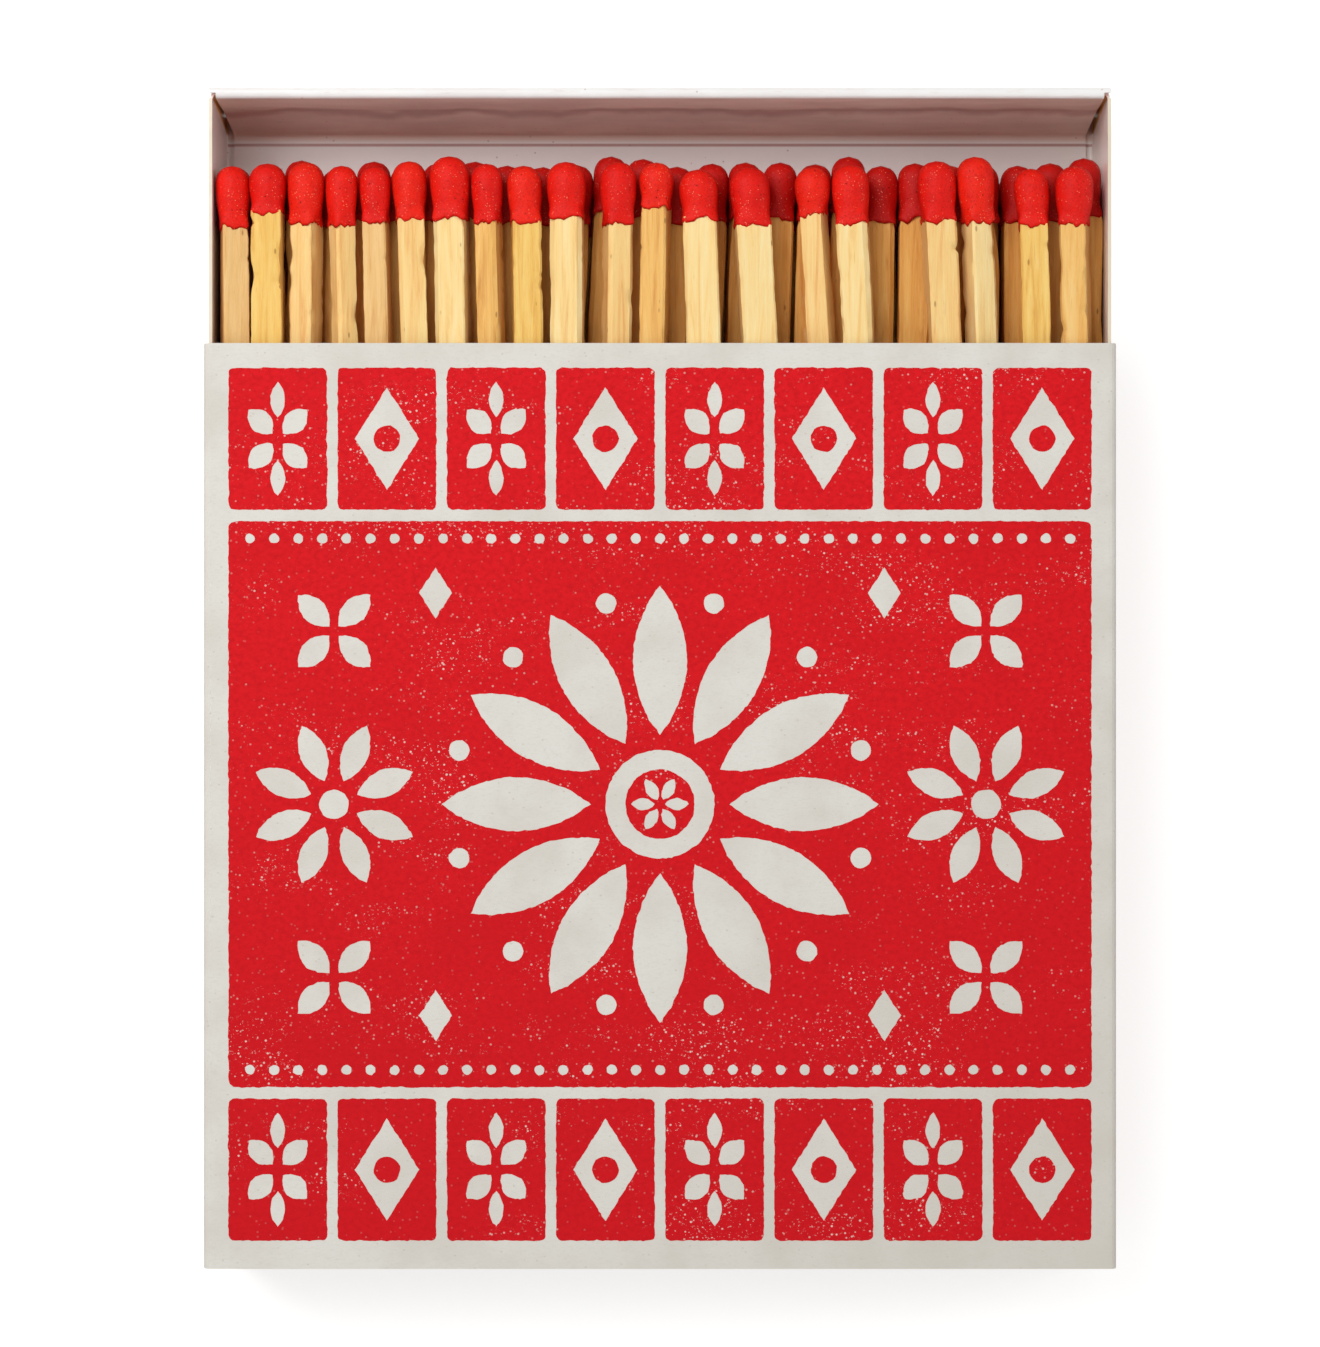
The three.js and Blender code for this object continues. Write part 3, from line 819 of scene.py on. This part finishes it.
def ragged(outline, seed):
    """A closed outline in short steps, its edge uneven as letterpress leaves it."""
    points = []
    for (ax, ay), (bx, by) in zip(outline, outline[1:] + outline[:1]):
        span = math.hypot(bx - ax, by - ay)
        if span < 1e-9:
            continue
        steps = max(1, round(span / EDGE_STEP))
        nx, ny = (by - ay) / span, (ax - bx) / span
        for k in range(steps):
            x = ax + (bx - ax) * k / steps
            y = ay + (by - ay) * k / steps
            wave = noise.noise(Vector((x / EDGE_WAVE, y / EDGE_WAVE, seed)))
            tooth = noise.noise(Vector((x / EDGE_TOOTH, y / EDGE_TOOTH, seed + 5)))
            shift = EDGE_ROUGHNESS * (wave + 0.8 * tooth)
            points.append((x + nx * shift, y + ny * shift))
    return points


def rounded_box(cx, cy, half_x, half_y, corner, steps=5):
    """A rectangle with round corners."""
    outline = []
    for quarter, (sx, sy) in enumerate(QUARTERS):
        for k in range(steps + 1):
            angle = (quarter + k / steps) * math.pi / 2
            outline.append((cx + sx * (half_x - corner) + corner * math.cos(angle),
                            cy + sy * (half_y - corner) + corner * math.sin(angle)))
    return outline


def disc(cx, cy, radius, steps):
    angles = [2 * math.pi * k / steps for k in range(steps)]
    return [(cx + radius * math.cos(angle), cy + radius * math.sin(angle)) for angle in angles]


def lozenge(cx, cy, half_x, half_y):
    return [(cx + half_x, cy), (cx, cy + half_y), (cx - half_x, cy), (cx, cy - half_y)]


def petal(cx, cy, angle, near, far, half, steps=10):
    """A pointed oval lying outwards from a centre."""
    outline = []
    for side in (1, -1):
        for k in range(steps):
            share = k / steps if side > 0 else 1 - k / steps
            reach = near + (far - near) * share
            width = side * half * math.sin(math.pi * share) ** 0.8
            outline.append((cx + reach * math.cos(angle) - width * math.sin(angle),
                            cy + reach * math.sin(angle) + width * math.cos(angle)))
    return outline


def flower(cx, cy, petals, near, far, half, turn):
    """Petals round a centre, from millimetres and degrees."""
    first = math.radians(turn)
    return [petal(cx, cy, first + 2 * math.pi * k / petals, near * MM, far * MM, half * MM)
            for k in range(petals)]


def band_shapes(cy):
    """A row of solid blocks, each pierced by a flower or by a lozenge with a dot in it."""
    width = (2 * PRINT_HALF_WIDTH - (BLOCKS - 1) * BLOCK_GAP) / BLOCKS
    shapes = []
    for k in range(BLOCKS):
        cx = -PRINT_HALF_WIDTH + width / 2 + k * (width + BLOCK_GAP)
        shapes.append(rounded_box(cx, cy, width / 2, BAND_HEIGHT / 2, 0.7 * MM))
        if k % 2:
            shapes.append(lozenge(cx, cy, 3.9 * MM, 6.2 * MM))
            shapes.append(disc(cx, cy, 1.6 * MM, 24))
        else:
            shapes.extend(flower(cx, cy, *BLOCK_FLOWER))
            shapes.extend(flower(cx, cy, *BLOCK_LEAVES))
    return shapes


def panel_shapes(cy):
    """A red field pierced by one large flower, two smaller ones and a border of dots."""
    half_y = PANEL_HEIGHT / 2
    shapes = [rounded_box(0, cy, PRINT_HALF_WIDTH, half_y, 0.9 * MM)]
    shapes.extend(flower(0, cy, *LARGE_FLOWER))
    shapes.append(disc(0, cy, 6.6 * MM, 60))
    shapes.append(disc(0, cy, 4.2 * MM, 44))
    shapes.extend(flower(0, cy, *SMALL_FLOWER))
    for k in range(RING_DOTS):
        angle = 2 * math.pi * (k + 0.5) / RING_DOTS
        x, y = RING_RADIUS * math.cos(angle), RING_RADIUS * math.sin(angle)
        shapes.append(disc(x, cy + y, 1.25 * MM, 20))
    for side in (1, -1):
        cx = side * SIDE_FLOWER_X
        shapes.extend(flower(cx, cy, *SIDE_FLOWER))
        shapes.append(disc(cx, cy, 1.8 * MM, 24))
        for up in (1, -1):
            shapes.extend(flower(cx, cy + up * CORNER_FLOWER_Y, *CORNER_FLOWER))
            x, y = SPARK_PLACE
            shapes.append(lozenge(side * x, cy + up * y, 2.0 * MM, 3.1 * MM))
    inset_x, inset_y = BORDER_INSET
    for k in range(BORDER_DOTS):
        x = (-PRINT_HALF_WIDTH + inset_x) + k * 2 * (PRINT_HALF_WIDTH - inset_x) / (BORDER_DOTS - 1)
        for up in (1, -1):
            shapes.append(disc(x, cy + up * (half_y - inset_y), 0.62 * MM, 14))
    return shapes


def printed(name, shapes, material, seed):
    """Ink on the sleeve's front: outlines filled with their inner ones left open."""
    curve = bpy.data.curves.new(name, "CURVE")
    curve.dimensions = "2D"
    curve.fill_mode = "BOTH"
    curve.extrude = INK_THICKNESS
    for k, shape in enumerate(shapes):
        points = ragged(shape, seed + k)
        spline = curve.splines.new("POLY")
        spline.points.add(len(points) - 1)
        for target, (x, y) in zip(spline.points, points):
            target.co = (x, y, 0, 1)
        spline.use_cyclic_u = True
    drawn = bpy.data.objects.new(name, curve)
    bpy.context.scene.collection.objects.link(drawn)
    graph = bpy.context.evaluated_depsgraph_get()
    mesh = bpy.data.meshes.new_from_object(drawn.evaluated_get(graph))
    bpy.data.objects.remove(drawn)
    bpy.data.curves.remove(curve)
    mesh.name = name
    for vertex in mesh.vertices:
        vertex.co.z += FRONT_Z + INK_RISE
    mesh.materials.clear()
    mesh.materials.append(material)
    piece = bpy.data.objects.new(name, mesh)
    bpy.context.scene.collection.objects.link(piece)
    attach(piece, "sleeve")


def build_print():
    """Two bands of blocks and the field between them, in one red."""
    ink = printing_ink()
    for k, top in enumerate(BAND_TOPS):
        cy = SLEEVE_HIGH.y - top - BAND_HEIGHT / 2
        printed("print_band_%d" % (k + 1), band_shapes(cy), ink, 50 + 100 * k)
    printed("print_panel", panel_shapes(SLEEVE_HIGH.y - PANEL_TOP - PANEL_HEIGHT / 2), ink, 400)


def coat_node(name, material):
    """Gives a piece that CAD keeps its material."""
    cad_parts[name].material_slots[0].material = material


# The studio: half the floor's side, what the camera sees added to the floor, and the world
FLOOR_HALF = 3
FLOOR_COLOR = srgb(236, 235, 233)
FLOOR_LIFT = 0.58
WORLD_STRENGTH = 0.38
# Lamps: place, target, size and power
LAMPS = {
    "key": ((-0.24, 0.23, 0.44), (0, 0.01, 0), (0.34, 0.34), 1.74),
    "fill": ((0.1, -0.5, 0.6), (0, 0.01, 0), (0.6, 0.6), 0.6),
    "side": ((0.5, 0.1, 0.24), (0, 0.06, 0), (0.3, 0.3), 0.52),
}
WHITE = (1, 1, 1, 1)


def area_light(name, place, target, size, power):
    """A soft lamp turned to a target."""
    light = bpy.data.lights.new(name, "AREA")
    light.shape = "RECTANGLE"
    light.size, light.size_y = size
    light.energy = power
    lamp = bpy.data.objects.new(name, light)
    lamp.location = place
    lamp.visible_camera = False
    lamp.rotation_euler = (Vector(target) - Vector(place)).to_track_quat("-Z", "Y").to_euler()
    bpy.context.scene.collection.objects.link(lamp)


def build_studio():
    """A white floor and world, one large soft lamp at the upper left and two weaker fills."""
    look = Look("floor", roughness=0.9, specular=0.1)
    look.color(FLOOR_COLOR)
    seen = look.tree.nodes.new("ShaderNodeLightPath").outputs["Is Camera Ray"]
    look.put(look.surface.inputs["Emission Color"], WHITE)
    look.put(look.surface.inputs["Emission Strength"], look.times(seen, FLOOR_LIFT))
    corners = [(sx * FLOOR_HALF, sy * FLOOR_HALF, 0) for sx, sy in QUARTERS]
    mesh_object("floor", corners, [(0, 1, 2, 3)], look.material)
    world = bpy.data.worlds.new("studio")
    bpy.context.scene.world = world
    world.use_nodes = True
    background = world.node_tree.nodes["Background"]
    background.inputs["Color"].default_value = WHITE
    background.inputs["Strength"].default_value = WORLD_STRENGTH
    for name, lamp in LAMPS.items():
        area_light(name, *lamp)


def build_camera():
    """Straight down on the box, at the height that gives the photograph's perspective."""
    sensor_view = IMAGE_HEIGHT / PIXELS_PER_MM * MM
    middle_pixel = (SLEEVE_TOP_PIXEL + SLEEVE_FOOT_PIXEL) / 2
    above = (middle_pixel - IMAGE_HEIGHT / 2) / PIXELS_PER_MM * MM
    data = bpy.data.cameras.new("camera")
    data.sensor_width = SENSOR
    data.lens = SENSOR * CAMERA_HEIGHT / sensor_view
    data.clip_start = 0.01
    camera = bpy.data.objects.new("camera", data)
    middle = (SLEEVE_LOW.y + SLEEVE_HIGH.y) / 2
    camera.location = (0, middle + above, FRONT_Z + CAMERA_HEIGHT)
    bpy.context.scene.collection.objects.link(camera)
    bpy.context.scene.camera = camera


bpy.context.scene.view_settings.view_transform = "Standard"
build_camera()
build_studio()
coat_node("sleeve", sleeve_card())
coat_node("tray", tray_board())
striker_look = striking_coat()
coat_node("striker_left", striker_look)
coat_node("striker_right", striker_look)
build_matches()
build_print()
